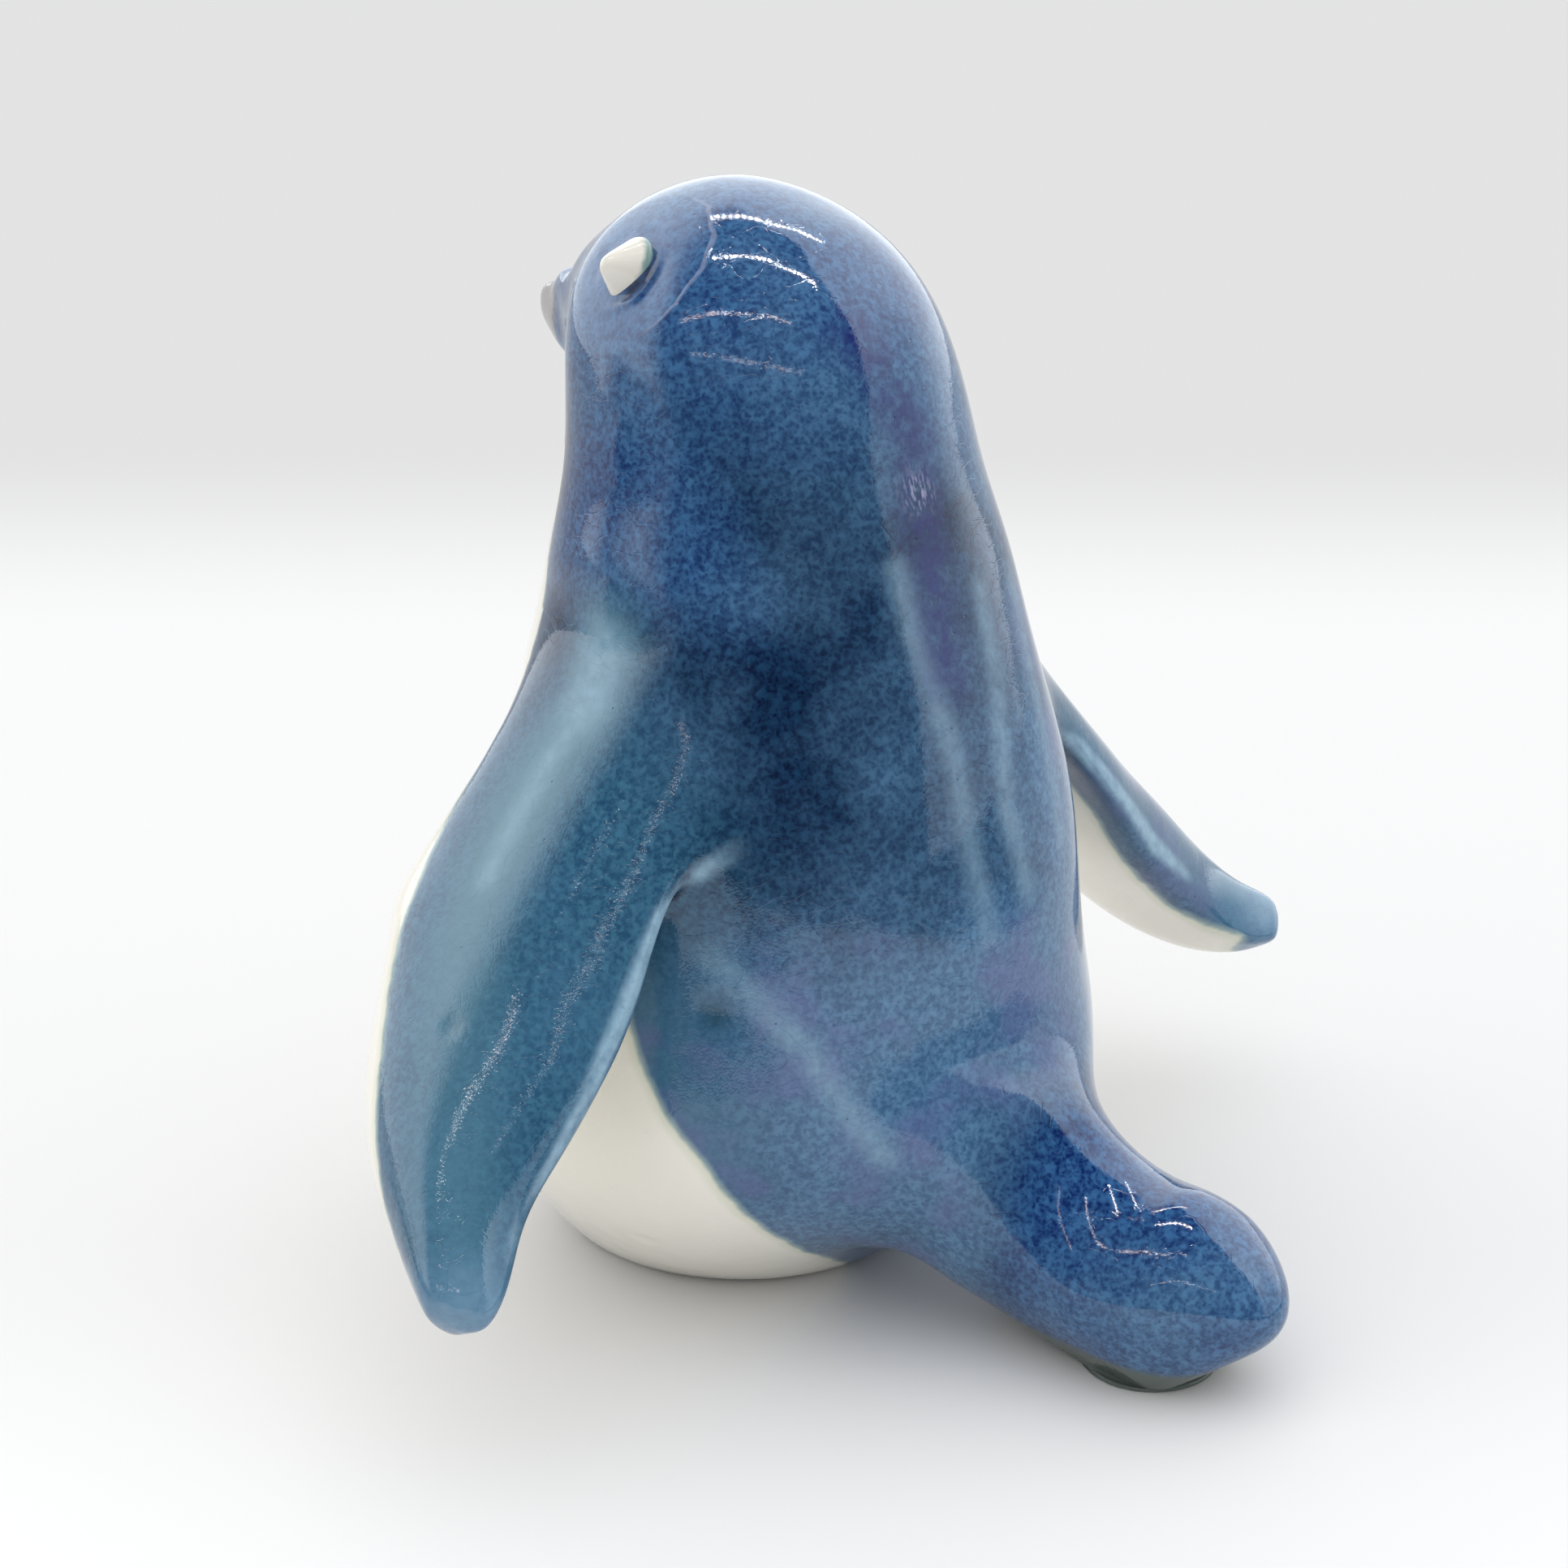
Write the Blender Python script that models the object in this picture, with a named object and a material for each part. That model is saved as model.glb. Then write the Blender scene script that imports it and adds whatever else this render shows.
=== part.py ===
# Ceramic penguin figurine, made in one piece and glazed, with a flat spot under the belly
# and another under the tail to stand on. It looks towards -Y, its left wing points to +X,
# and the middle of the flat spot under its belly is the origin. Like many pieces shaped
# by hand it is a little uneven: the right wing is longer and hollower, and the tail bends
# to the right. Lengths are in metres and angles in degrees.

from math import asin, cos, pi, radians, sin, sqrt

import bmesh
import bpy
from mathutils import Vector

# Body
HEIGHT = 0.1490
BELLY_RADIUS = 0.0446
HEAD_RADIUS = 0.0266
DOME_HEIGHT = 0.0270
HEAD_LEVEL = HEIGHT - DOME_HEIGHT
FOOT_RADIUS = 0.0250
FOOT_INNER_RADIUS = 0.0100
BACK_SET = 0.0046
DOME_LEAN = 0.215

# Wings
SHOULDER_HALF_WIDTH = 0.0340
SHOULDER_DEPTH = 0.0480
SHOULDER_LEVEL = HEAD_LEVEL - SHOULDER_DEPTH
SHOULDER_SET = 0.0033
LEFT_WING_SPAN = 0.0490
RIGHT_WING_SPAN = 0.0535
LEFT_WING_SAG = 0.0
RIGHT_WING_SAG = 0.0043
WING_DROP = 0.0490
WING_SWEEP = 0.0250
WING_CHORD = 0.0410
WING_CROWN = 0.0115
WING_HOLLOW = 0.0050

# Tail
TAIL_REACH = 0.0870
TAIL_RADIUS = 0.0143
TAIL_BEND = -0.0042
TAIL_FOOT_SET = 0.0675
TAIL_FOOT_SIZE = 0.0185
TAIL_LIP = 0.0008
TAIL_CLEARANCE = 0.0022

# Beak
BEAK_REACH = 0.0412
BEAK_LIFT = 0.0058
BEAK_LEVEL = HEAD_LEVEL + BEAK_LIFT
BEAK_WIDTH = 0.0165
BEAK_DEPTH = 0.0118
BEAK_FLARE = 0.0014

# Eyes: nubs of two sections, each with its way out and its share of the size
EYE_LIFT = 0.0175
EYE_LEVEL = HEAD_LEVEL + EYE_LIFT
EYE_TURN = -3.5
EYE_WIDTH = 0.0048
EYE_HEIGHT = 0.0066
EYE_REACH = 0.0042
EYE_RISE = 23
EYE_REAR_TURN = 8
EYE_SECTIONS = ((0.0, 1.0), (0.88, 0.38))

# Body rings above the foot, below the widest one: share of the way up to the head,
# way from the foot's radius to the belly's, share of the body's set
LOWER_RINGS = (
    (0.024, 0.17, -0.50),
    (0.082, 0.49, 0.13),
)

# Body rings from the belly to the neck: share of the way up to the head,
# way from the head's radius to the belly's, share of the body's set
UPPER_RINGS = (
    (0.204, 0.985, 0.75),
    (0.342, 0.955, 0.90),
    (0.489, 0.845, 0.95),
    (0.602, 0.710, 1.00),
    (0.717, 0.464, 1.05),
    (0.822, 0.255, 0.93),
    (0.912, 0.092, 0.70),
)
FOOT_SET = -0.85
HEAD_SET = 0.38

# The head's dome: angles of its rings above its widest one, and of the points round the crown
DOME_RINGS = (0, 26, 52)
CROWN_ANGLE = 74

# Wing sections from the root to the tip: shares of the span, drop, sweep, chord, crown
# and hollow side, and the twist that lifts the leading edge
WING_SECTIONS = (
    (0.260, 0.288, 0.00, 1.06, 0.80, 0.30, 5),
    (0.420, 0.459, 0.09, 0.98, 0.80, 0.80, 10),
    (0.572, 0.622, 0.20, 0.86, 0.85, 0.90, 8),
    (0.725, 0.790, 0.37, 0.69, 0.84, 0.80, -1),
    (0.850, 0.925, 0.70, 0.45, 0.74, 0.70, -14),
    (0.950, 0.988, 0.94, 0.23, 0.52, 0.50, -24),
)

# Across a wing, from its leading edge to its trailing edge: place along the chord,
# and the shares of the crown outside and of the hollow side inside
WING_SHAPE = ((-0.36, 0.60, 0.75), (-0.04, 1.0, 1.0), (0.32, 0.86, 0.75))

# Corners of the limbs' roots: row, column and how far each is drawn towards the middle
WING_ROOT_CORNERS = ((0, 2, 0.15), (2, 0, 0.20), (2, 2, 0.25))
TAIL_ROOT_CORNERS = ((0, 0, 0.10), (0, 2, 0.10), (2, 0, 0.10), (2, 2, 0.10))

# Tail sections from the root to the end: share of the reach, share of the bend, level
# and radius in tail radii, and the slope of the tail there
TAIL_SECTIONS = (
    (0.550, 0.05, 1.42, 1.12, -22),
    (0.640, 0.55, 1.05, 0.99, -18),
    (0.745, 0.93, 0.79, 1.01, -3),
    (0.843, 1.07, 0.88, 0.93, 14),
    (0.918, 1.15, 1.12, 0.67, 30),
)

# Round a tail section, as shares of its radius: the top, the sides and the underside
TAIL_SHAPE = (
    ((-0.7, 0.7), (0.0, 1.0), (0.7, 0.7)),
    ((-1.0, 0.0), (0.0, 0.0), (1.0, 0.0)),
    ((-0.6, -0.8), (0.0, -1.0), (0.6, -0.8)),
)

# Beak sections in front of its base: way to the tip, shares of the width and depth
BEAK_SECTIONS = (
    (0.17, 0.94, 0.90),
    (0.42, 0.73, 0.76),
    (0.68, 0.46, 0.52),
    (0.90, 0.20, 0.26),
)

# The cage has twelve columns of points, counted from the front to the left
COLUMNS = 12
FAIRING_PASSES = 5
SMOOTH_LEVELS = 2

BLUE = (0.06, 0.15, 0.27, 1.0)
GLAZE_ROUGHNESS = 0.12


def clear_scene():
    for item in list(bpy.data.objects):
        bpy.data.objects.remove(item, do_unlink=True)


def blend(low, high, share):
    return low + (high - low) * share


def turned(radius, angle):
    return radius * cos(radians(angle)), radius * sin(radians(angle))


# Body: rings of points from the floor to the crown

def dome_ring(angle):
    radius, rise = cos(radians(angle)) * HEAD_RADIUS, sin(radians(angle)) * DOME_HEIGHT
    return HEAD_LEVEL + rise, radius, BACK_SET * HEAD_SET - DOME_LEAN * rise


def body_rings():
    rings = [(0.0, FOOT_RADIUS, BACK_SET * FOOT_SET)]
    for level, share, back in LOWER_RINGS:
        rings.append((HEAD_LEVEL * level, blend(FOOT_RADIUS, BELLY_RADIUS, share), BACK_SET * back))
    for level, share, back in UPPER_RINGS:
        rings.append((HEAD_LEVEL * level, blend(HEAD_RADIUS, BELLY_RADIUS, share), BACK_SET * back))
    return rings + [dome_ring(angle) for angle in DOME_RINGS]


def ring_point(ring, turn):
    level, radius, back = ring
    across, along = turned(radius, turn)
    return Vector((across, back + along, level))


def column_turn(column):
    return 360 / COLUMNS * column - 90


def twins(places, made):
    # The new point that lies on each of the old places
    fresh = [item for item in made if isinstance(item, bmesh.types.BMVert)]
    return [min(fresh, key=lambda vert: (vert.co - place).length) for place in places]


def loop_edges(mesh, ring):
    count = len(ring)
    return [mesh.edges.get((ring[i], ring[(i + 1) % count])) for i in range(count)]


def build_trunk(mesh):
    rings = body_rings()
    first = [mesh.verts.new(ring_point(rings[0], column_turn(i))) for i in range(COLUMNS)]
    for column in range(COLUMNS):
        mesh.edges.new((first[column], first[(column + 1) % COLUMNS]))
    grid = [first]
    for ring in rings[1:]:
        below = grid[-1]
        made = bmesh.ops.extrude_edge_only(mesh, edges=loop_edges(mesh, below))["geom"]
        above = twins([vert.co for vert in below], made)
        for column, vert in enumerate(above):
            vert.co = ring_point(ring, column_turn(column))
        grid.append(above)
    return grid


def close_ring(mesh, ring, inner_ring):
    # Fills a ring of twelve points with nine faces round four inner points
    edges = loop_edges(mesh, ring)
    made = bmesh.ops.grid_fill(mesh, edges=edges[0:3] + edges[6:9])["faces"]
    inner = [ring_point(inner_ring, turn) for turn in (-90, 0, 90, 180)]
    for vert in {vert for face in made for vert in face.verts} - set(ring):
        vert.co = min(inner, key=lambda place: (place - vert.co).length)


# Limbs: a patch of the cage, held as rows of points, is drawn out section by section

def patch(grid, rows, columns):
    return [[grid[row][column] for column in columns] for row in rows]


def round_root(rows, corners):
    # Corners of a limb's root are drawn towards its middle, round the body
    middle = rows[1][1].co
    for row, column, share in corners:
        corner = rows[row][column].co
        drawn = corner.lerp(middle, share)
        reach = blend(corner.xy.length, middle.xy.length, share)
        drawn.xy = drawn.xy.normalized() * reach
        rows[row][column].co = drawn


def patch_faces(mesh, rows):
    faces = []
    for upper, lower in zip(rows, rows[1:]):
        for i in range(len(upper) - 1):
            faces.append(mesh.faces.get((upper[i], upper[i + 1], lower[i + 1], lower[i])))
    return faces


def draw_out(mesh, rows, places):
    faces = patch_faces(mesh, rows)
    made = bmesh.ops.extrude_face_region(mesh, geom=faces)["geom"]
    fresh = [twins([vert.co for vert in row], made) for row in rows]
    bmesh.ops.delete(mesh, geom=faces, context="FACES")
    for row, row_places in zip(fresh, places):
        for vert, place in zip(row, row_places):
            vert.co = place
    return fresh


def wing_places(centre, chord, normal, length, crown, hollow):
    # Three rows of three points round a section: outside, edges and inside
    outside, edges, inside = [], [], []
    for along, crown_share, hollow_share in WING_SHAPE:
        middle = centre + chord * along * length
        outside.append(middle + normal * crown * crown_share)
        inside.append(middle - normal * hollow * hollow_share)
    for along in (-0.5, 0.0, 0.5):
        edges.append(centre + chord * along * length)
    return [outside, edges, inside]


def build_wing(mesh, rows, side, span, sag):
    round_root(rows, WING_ROOT_CORNERS)
    root = WING_SECTIONS[0][0]
    slope = Vector((span, 0, -WING_DROP)).normalized()
    for out, drop, sweep, chord_share, crown, hollow, twist in WING_SECTIONS:
        sagged = sag * sin(pi * ((out - root) / (1 - root)) ** 2)
        centre = Vector((
            SHOULDER_HALF_WIDTH + span * out,
            SHOULDER_SET + WING_SWEEP * sweep,
            SHOULDER_LEVEL - WING_DROP * drop - sagged,
        ))
        chord = Vector((0, cos(radians(twist)), -sin(radians(twist))))
        normal = slope.cross(chord).normalized()
        length = WING_CHORD * chord_share
        places = wing_places(centre, chord, normal, length, WING_CROWN * crown, WING_HOLLOW * hollow)
        for place in [place for row in places for place in row]:
            place.x *= side
        rows = draw_out(mesh, rows, places)
    rows[1][1].co.x = side * (SHOULDER_HALF_WIDTH + span)


def build_tail(mesh, rows):
    round_root(rows, TAIL_ROOT_CORNERS)
    sections = []
    for reach, bend, level, radius_share, slope in TAIL_SECTIONS:
        centre = Vector((TAIL_BEND * bend, TAIL_REACH * reach, TAIL_RADIUS * level))
        up = Vector((0, -sin(radians(slope)), cos(radians(slope))))
        radius = TAIL_RADIUS * radius_share
        places = []
        for shape_row in TAIL_SHAPE:
            row = []
            for width, height in shape_row:
                place = centre + up * radius * height
                place.x -= radius * width
                place.z = max(place.z, TAIL_CLEARANCE)
                row.append(place)
            places.append(row)
        rows = draw_out(mesh, rows, places)
        sections.append(rows)
    rows[1][1].co.y = TAIL_REACH
    return sections


def build_tail_foot(mesh, sections):
    # The underside between the second and the fourth section is drawn down to the floor
    rows = [sections[i][2] for i in (1, 2, 3)]
    crease = mesh.edges.layers.float["crease_edge"]
    for level in (TAIL_LIP, 0.0):
        places = []
        for along in (-0.5, 0.0, 0.5):
            row = []
            for width in (0.5, 0.0, -0.5):
                size = TAIL_FOOT_SIZE * (sqrt(0.5) if along and width else 1.0)
                row.append(Vector((TAIL_BEND + size * width, TAIL_FOOT_SET + size * along, level)))
            places.append(row)
        rows = draw_out(mesh, rows, places)
    rim = rows[0] + [rows[1][2]] + rows[2][::-1] + [rows[1][0]]
    for edge in loop_edges(mesh, rim):
        edge[crease] = 1.0


def build_beak(mesh, rows):
    base = rows[0][1].co.y
    for row in rows:
        row[1].co.y -= BEAK_FLARE
    for way, width_share, depth_share in BEAK_SECTIONS:
        places = []
        for height in (0.5, -0.5):
            row = []
            for width in (-0.5, 0.0, 0.5):
                row.append(Vector((
                    BEAK_WIDTH * width_share * width,
                    blend(base, -BEAK_REACH, way),
                    BEAK_LEVEL + BEAK_DEPTH * depth_share * height,
                )))
            places.append(row)
        rows = draw_out(mesh, rows, places)


def build_eye(mesh, rows, side):
    for row, angle in zip(rows, (DOME_RINGS[2], DOME_RINGS[1])):
        row[1].co = ring_point(dome_ring(angle), EYE_REAR_TURN)
        row[1].co.x *= side
    angle = asin(EYE_LIFT / DOME_HEIGHT)
    radius = HEAD_RADIUS * cos(angle)
    back = BACK_SET * HEAD_SET - DOME_LEAN * EYE_LIFT
    across, along = turned(radius, EYE_TURN)
    centre = Vector((across, back + along, EYE_LEVEL))
    normal = Vector((centre.x, centre.y - back, EYE_LIFT)).normalized()
    rear = Vector((0, 0, 1)).cross(normal).normalized()
    up = normal.cross(rear)
    outward, lift = turned(EYE_REACH, EYE_RISE)
    for reach, size in EYE_SECTIONS:
        places = []
        for height in (0.5, -0.5):
            row = []
            for width in (-0.5, 0.5):
                place = centre + rear * EYE_WIDTH * size * width + up * EYE_HEIGHT * size * height
                place += Vector((outward, 0, lift)) * reach
                place.x *= side
                row.append(place)
            places.append(row)
        rows = draw_out(mesh, rows, places)


# Smoothing pulls the surface inside its cage, so the cage is moved out until the
# smoothed surface passes through the places chosen above

def smooth_place(vert, crease):
    sharp = [edge for edge in vert.link_edges if edge[crease] > 0]
    if sharp:
        ends = [edge.other_vert(vert).co for edge in sharp]
        return (vert.co * 4 + ends[0] + ends[1]) / 6
    count = len(vert.link_edges)
    total = vert.co * count * count
    for edge in vert.link_edges:
        total += edge.other_vert(vert).co * 4
    for face in vert.link_faces:
        corners = face.verts[:]
        total += corners[(corners.index(vert) + 2) % 4].co
    return total / (count * (count + 5))


def fair_cage(mesh):
    crease = mesh.edges.layers.float["crease_edge"]
    wanted = {vert: vert.co.copy() for vert in mesh.verts}
    for _ in range(FAIRING_PASSES):
        moves = {vert: wanted[vert] - smooth_place(vert, crease) for vert in mesh.verts}
        for vert, move in moves.items():
            vert.co += move


def glaze(name, colour):
    material = bpy.data.materials.new(name)
    material.use_nodes = True
    shader = material.node_tree.nodes["Principled BSDF"]
    shader.inputs["Base Color"].default_value = colour
    shader.inputs["Roughness"].default_value = GLAZE_ROUGHNESS
    shader.inputs["Metallic"].default_value = 0.0
    return material


def build_penguin():
    mesh = bmesh.new()
    crease = mesh.edges.layers.float.new("crease_edge")
    grid = build_trunk(mesh)
    for edge in loop_edges(mesh, grid[0]):
        edge[crease] = 1.0
    close_ring(mesh, grid[0], (0.0, FOOT_INNER_RADIUS, BACK_SET * FOOT_SET))
    close_ring(mesh, grid[-1], dome_ring(CROWN_ANGLE))
    # Each limb grows from a patch of rings, counted from the floor, and of columns
    build_wing(mesh, patch(grid, (7, 6, 5), (2, 3, 4)), 1, LEFT_WING_SPAN, LEFT_WING_SAG)
    build_wing(mesh, patch(grid, (7, 6, 5), (10, 9, 8)), -1, RIGHT_WING_SPAN, RIGHT_WING_SAG)
    build_tail_foot(mesh, build_tail(mesh, patch(grid, (4, 3, 2), (5, 6, 7))))
    build_beak(mesh, patch(grid, (11, 10), (11, 0, 1)))
    build_eye(mesh, patch(grid, (12, 11), (2, 3)), 1)
    build_eye(mesh, patch(grid, (12, 11), (10, 9)), -1)
    fair_cage(mesh)
    bmesh.ops.recalc_face_normals(mesh, faces=mesh.faces)
    bmesh.ops.translate(mesh, verts=mesh.verts, vec=(0, -BACK_SET * FOOT_SET, 0))
    data = bpy.data.meshes.new("penguin")
    mesh.to_mesh(data)
    mesh.free()
    data.shade_smooth()
    data.materials.append(glaze("blue_glaze", BLUE))
    penguin = bpy.data.objects.new("penguin", data)
    bpy.context.scene.collection.objects.link(penguin)
    smooth = penguin.modifiers.new("smooth", "SUBSURF")
    smooth.levels = SMOOTH_LEVELS
    smooth.render_levels = SMOOTH_LEVELS
    return penguin


clear_scene()
build_penguin()
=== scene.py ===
from math import cos, pi, radians, sin, tan
import bmesh
import bpy
import numpy as np
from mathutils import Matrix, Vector


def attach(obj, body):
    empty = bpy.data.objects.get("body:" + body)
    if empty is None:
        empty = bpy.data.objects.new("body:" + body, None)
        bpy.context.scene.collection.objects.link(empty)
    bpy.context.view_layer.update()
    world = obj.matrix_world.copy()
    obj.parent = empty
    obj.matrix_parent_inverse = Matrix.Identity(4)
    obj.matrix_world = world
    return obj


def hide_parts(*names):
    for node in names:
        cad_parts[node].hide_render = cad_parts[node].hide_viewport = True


# Glazed penguin figurine. Its surface is worked on in millimetres, all else is in metres.

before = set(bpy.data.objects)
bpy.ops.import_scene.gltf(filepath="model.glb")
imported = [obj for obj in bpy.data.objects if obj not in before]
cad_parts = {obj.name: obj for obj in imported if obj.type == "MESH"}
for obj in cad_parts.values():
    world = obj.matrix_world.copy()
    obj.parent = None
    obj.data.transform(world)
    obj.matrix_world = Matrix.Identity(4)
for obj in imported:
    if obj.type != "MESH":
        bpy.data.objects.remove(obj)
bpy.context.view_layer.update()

viewpoint = {
    "azimuth": 132.94,      # degrees round the figurine, 0 looks at its breast
    "elevation": 20.63,
    "distance": 0.43657,
    "target": (-0.00256, 0.00666, 0.0655),
    "fieldOfView": 28,
}


def towardCamera():
    a, e = radians(viewpoint["azimuth"]), radians(viewpoint["elevation"])
    return Vector((sin(a) * cos(e), -cos(a) * cos(e), sin(e)))


flatToward = Vector((towardCamera().x, towardCamera().y, 0)).normalized()
flatRight = Vector((-flatToward.y, flatToward.x, 0))


# Mesh helpers, in millimetres

def readPoints(mesh):
    points = np.empty(len(mesh.vertices) * 3)
    mesh.vertices.foreach_get("co", points)
    return points.reshape(-1, 3) * 1000


def readNormals(mesh):
    normals = np.empty(len(mesh.vertices) * 3)
    mesh.vertices.foreach_get("normal", normals)
    return normals.reshape(-1, 3)


def writePoints(mesh, points):
    mesh.vertices.foreach_set("co", (points / 1000).ravel())
    mesh.update()


def storeField(mesh, name, values):
    layer = mesh.attributes.new(name, "FLOAT", "POINT")
    layer.data.foreach_set("value", values.astype(np.float32))


def smoothStep(low, high, value):
    share = np.clip((value - low) / (high - low), 0, 1)
    return share * share * (3 - 2 * share)


def bump(distance, reach):
    return 1 - smoothStep(0, reach, distance)


def farFrom(points, place):
    return np.linalg.norm(points - np.array(place), axis=1)


def farFromPath(points, path):
    path = np.array(path, float)
    best = np.full(len(points), 1e9)
    for start, end in zip(path, path[1:]):
        step = end - start
        share = np.clip((points - start) @ step / (step @ step), 0, 1)
        best = np.minimum(best, np.linalg.norm(points - start - share[:, None] * step, axis=1))
    return best


def averageOfNeighbours(mesh, values, rounds):
    edges = np.empty(len(mesh.edges) * 2, dtype=np.int64)
    mesh.edges.foreach_get("vertices", edges)
    a, b = edges[0::2], edges[1::2]
    count = np.bincount(a, minlength=len(values)) + np.bincount(b, minlength=len(values))
    values = values.copy()
    for _ in range(rounds):
        for k in range(values.shape[1]):
            total = np.bincount(a, values[b, k], len(values)) + np.bincount(b, values[a, k], len(values))
            values[:, k] = 0.5 * values[:, k] + 0.5 * total / count
    return values


# Figurine

figurine = {
    "smoothLevels": 2,
    "blueEdgeInside": 6.0,     # mm of blue along the rear edge inside a wing
    "blueTip": 8.0,            # mm of blue at a wing's tip
    "axisY": 7.9,              # mm, middle of the body
    "wingRoot": 34.0,          # mm from the middle to where the wings leave the body
    "leftWing": 49.0,          # mm from there to a wing's tip
    "rightWing": 53.5,
    "creamTop": 126.5,         # mm, no cream above this height
    "beakStart": 24.75,        # mm forward and outward, the bare beak lies beyond this
    "dishDepth": 0.8,          # mm, hollow round each eye
    "dishRadius": 11.3,
    "tailRounds": 400,         # smoothing of the tail
    "browLift": 2.4,           # mm that the brow swells above the beak
    "browPlace": (6, -20, 136),
    "browReach": 12,
    "beakRoot": (0, -21, 138),  # where the crease above the beak is filled
    "beakRootReach": 15,
    "beakRootRounds": 100,
}

# All places below are in mm, on the left side, the right side mirrors them.
# body radius by height
bodyProfile = ((0, 25), (6, 30.6), (14, 38.3), (26, 44.6), (40, 43.9), (55, 42.4), (70, 40.4),
               (85, 35.9), (98, 31.9), (110, 28.8), (122, 26.6), (136, 22), (149, 0))
# where the cream belly ends, as degrees round the body by height, 0 at the left side
creamBelow = ((0, 76), (5.6, 61), (11.5, 49), (17.5, 41.7), (23, 36.3), (29, 32), (33, 28.4),
              (37, 24), (41, 21), (45, 18), (52, 15), (60, 12))
# upper edge of the cream: chin, side of the neck, shoulder, front edge of the wing
creamAbove = ((0, -22, 125), (9, -20, 125), (16, -16, 124), (20, -12, 121), (22.4, -11, 114),
              (23.8, -11, 106), (25, -11, 99.5), (27, -11, 92), (31, -10.5, 85), (36, -10, 79),
              (40.1, -9.1, 75.1), (46.4, -8.8, 68.9), (52.4, -7, 63.7), (58.2, -4.7, 57.7),
              (63.5, -1, 52.6), (68.8, 3.8, 48), (73.2, 7.7, 43), (76.3, 11.4, 38.7), (78.5, 15.2, 34.2),
              (80, 18.5, 31.5), (81, 24, 29))
# rear edge inside a wing
rearEdge = ((38, 26, 64), (43, 26.9, 60), (50, 29.6, 54.5), (55, 29.9, 48), (60, 29.9, 43),
            (67, 29.9, 37), (72, 31.9, 34), (78, 34.9, 31), (83, 34.9, 26))
wingTip = (82, 33, 27)
# ridge along a wing's rear edge, and the line down the middle of its outer face
rearRidge = ((31, 31, 73), (36, 28.5, 69.5), (42.1, 27.3, 65.3), (45.7, 28, 61.2), (49.2, 28.6, 57),
             (53.2, 29, 51.8), (57.6, 29.2, 45.7), (65, 30.5, 39), (72, 32.5, 34), (78, 34, 30))
wingMiddle = ((32, 7.5, 93.7), (35.6, 7.2, 86.8), (40, 5.6, 81), (45.5, 5.3, 74.6), (52, 5.9, 67.8),
              (58.1, 7.8, 61.3), (64.3, 13, 55), (70.3, 18.2, 48.8), (75, 23.8, 42.6), (79.1, 28.9, 36.1),
              (81.9, 33.3, 30.2))
# runs in the glaze of the back, not mirrored
paleRuns = (((8.4, 36.3, 105), (8.5, 39.2, 97), (7.6, 42, 90), (6.8, 45.5, 80), (7.2, 48.2, 69.5),
             (5, 49.9, 58)),
            ((-4.7, 38.8, 100), (-4, 42.4, 90.6), (-1.9, 45.7, 80.8), (-0.3, 48.3, 71.8), (-3, 49.9, 61)),
            ((-14, 36, 98), (-13, 40.5, 88), (-12, 44, 77), (-12, 46.5, 66)),
            ((35, 29.5, 58), (32.4, 34.1, 53), (28.8, 39.2, 46.7), (26.3, 42.6, 40), (22, 47.2, 31)))
violetRun = ((6, 26, 133), (3.1, 30.6, 126.3), (1.1, 32.8, 120), (2.2, 34.6, 113.2), (2.9, 36.9, 106),
             (4, 39.5, 99), (5, 41.6, 91))
# spot of painted highlight: pale streaks on the violet run, where its ripples glint
sheenStreakSpot = (2.4, 34.3, 113.5)
eyeCentre = (19.2, -0.8, 140.05)
eyeOut = (0.917, -0.030, 0.399)
# dents left by tools and stilts: place, radius, depth, and how far the darker glaze round them reaches;
# round the dent under the wing's rear edge this darkening is painted armpit shade
dents = (((35.8, 30.2, 50.7), 3.6, 0.45, 3.4), ((65.5, 13.5, 53.9), 2.6, 0.28, 0),
         ((35.6, 16.7, 13.2), 1.5, 0.35, 1.6), ((82.2, 33.4, 27.5), 1.6, 0.30, 0),
         ((6.0, 76.0, 20.0), 6.0, 0.25, 0), ((27.0, 41.0, 36.0), 8.0, 0.30, 0))


def refinedCopy(source, name, levels):
    work = bmesh.new()
    work.from_mesh(source.data)
    bmesh.ops.remove_doubles(work, verts=work.verts, dist=0.000002)
    bmesh.ops.join_triangles(work, faces=work.faces, angle_face_threshold=radians(50),
                             angle_shape_threshold=radians(80), cmp_seam=False)
    mesh = bpy.data.meshes.new(name)
    work.to_mesh(mesh)
    work.free()
    piece = bpy.data.objects.new(name, mesh)
    bpy.context.scene.collection.objects.link(piece)
    smooth = piece.modifiers.new("smooth", "SUBSURF")
    smooth.levels = smooth.render_levels = levels
    done = piece.evaluated_get(bpy.context.evaluated_depsgraph_get())
    piece.data = bpy.data.meshes.new_from_object(done)
    piece.data.name = name
    piece.modifiers.clear()
    bpy.data.meshes.remove(mesh)
    piece.data.materials.clear()
    piece.data.shade_smooth()
    return piece


def lookUp(table, heights):
    return np.interp(heights, [row[0] for row in table], [row[1] for row in table])


def toLeftSide(points):
    # mirrors the right side over, and shortens its longer wing to the left one's span
    folded = points.copy()
    far, root = np.abs(points[:, 0]), figurine["wingRoot"]
    stretch = np.where(points[:, 0] < 0, figurine["leftWing"] / figurine["rightWing"], 1.0)
    folded[:, 0] = np.where(far > root, root + (far - root) * stretch, far)
    return folded


def mirroredOver(points):
    mirrored = points.copy()
    mirrored[:, 0] = np.abs(points[:, 0])
    return mirrored


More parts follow.
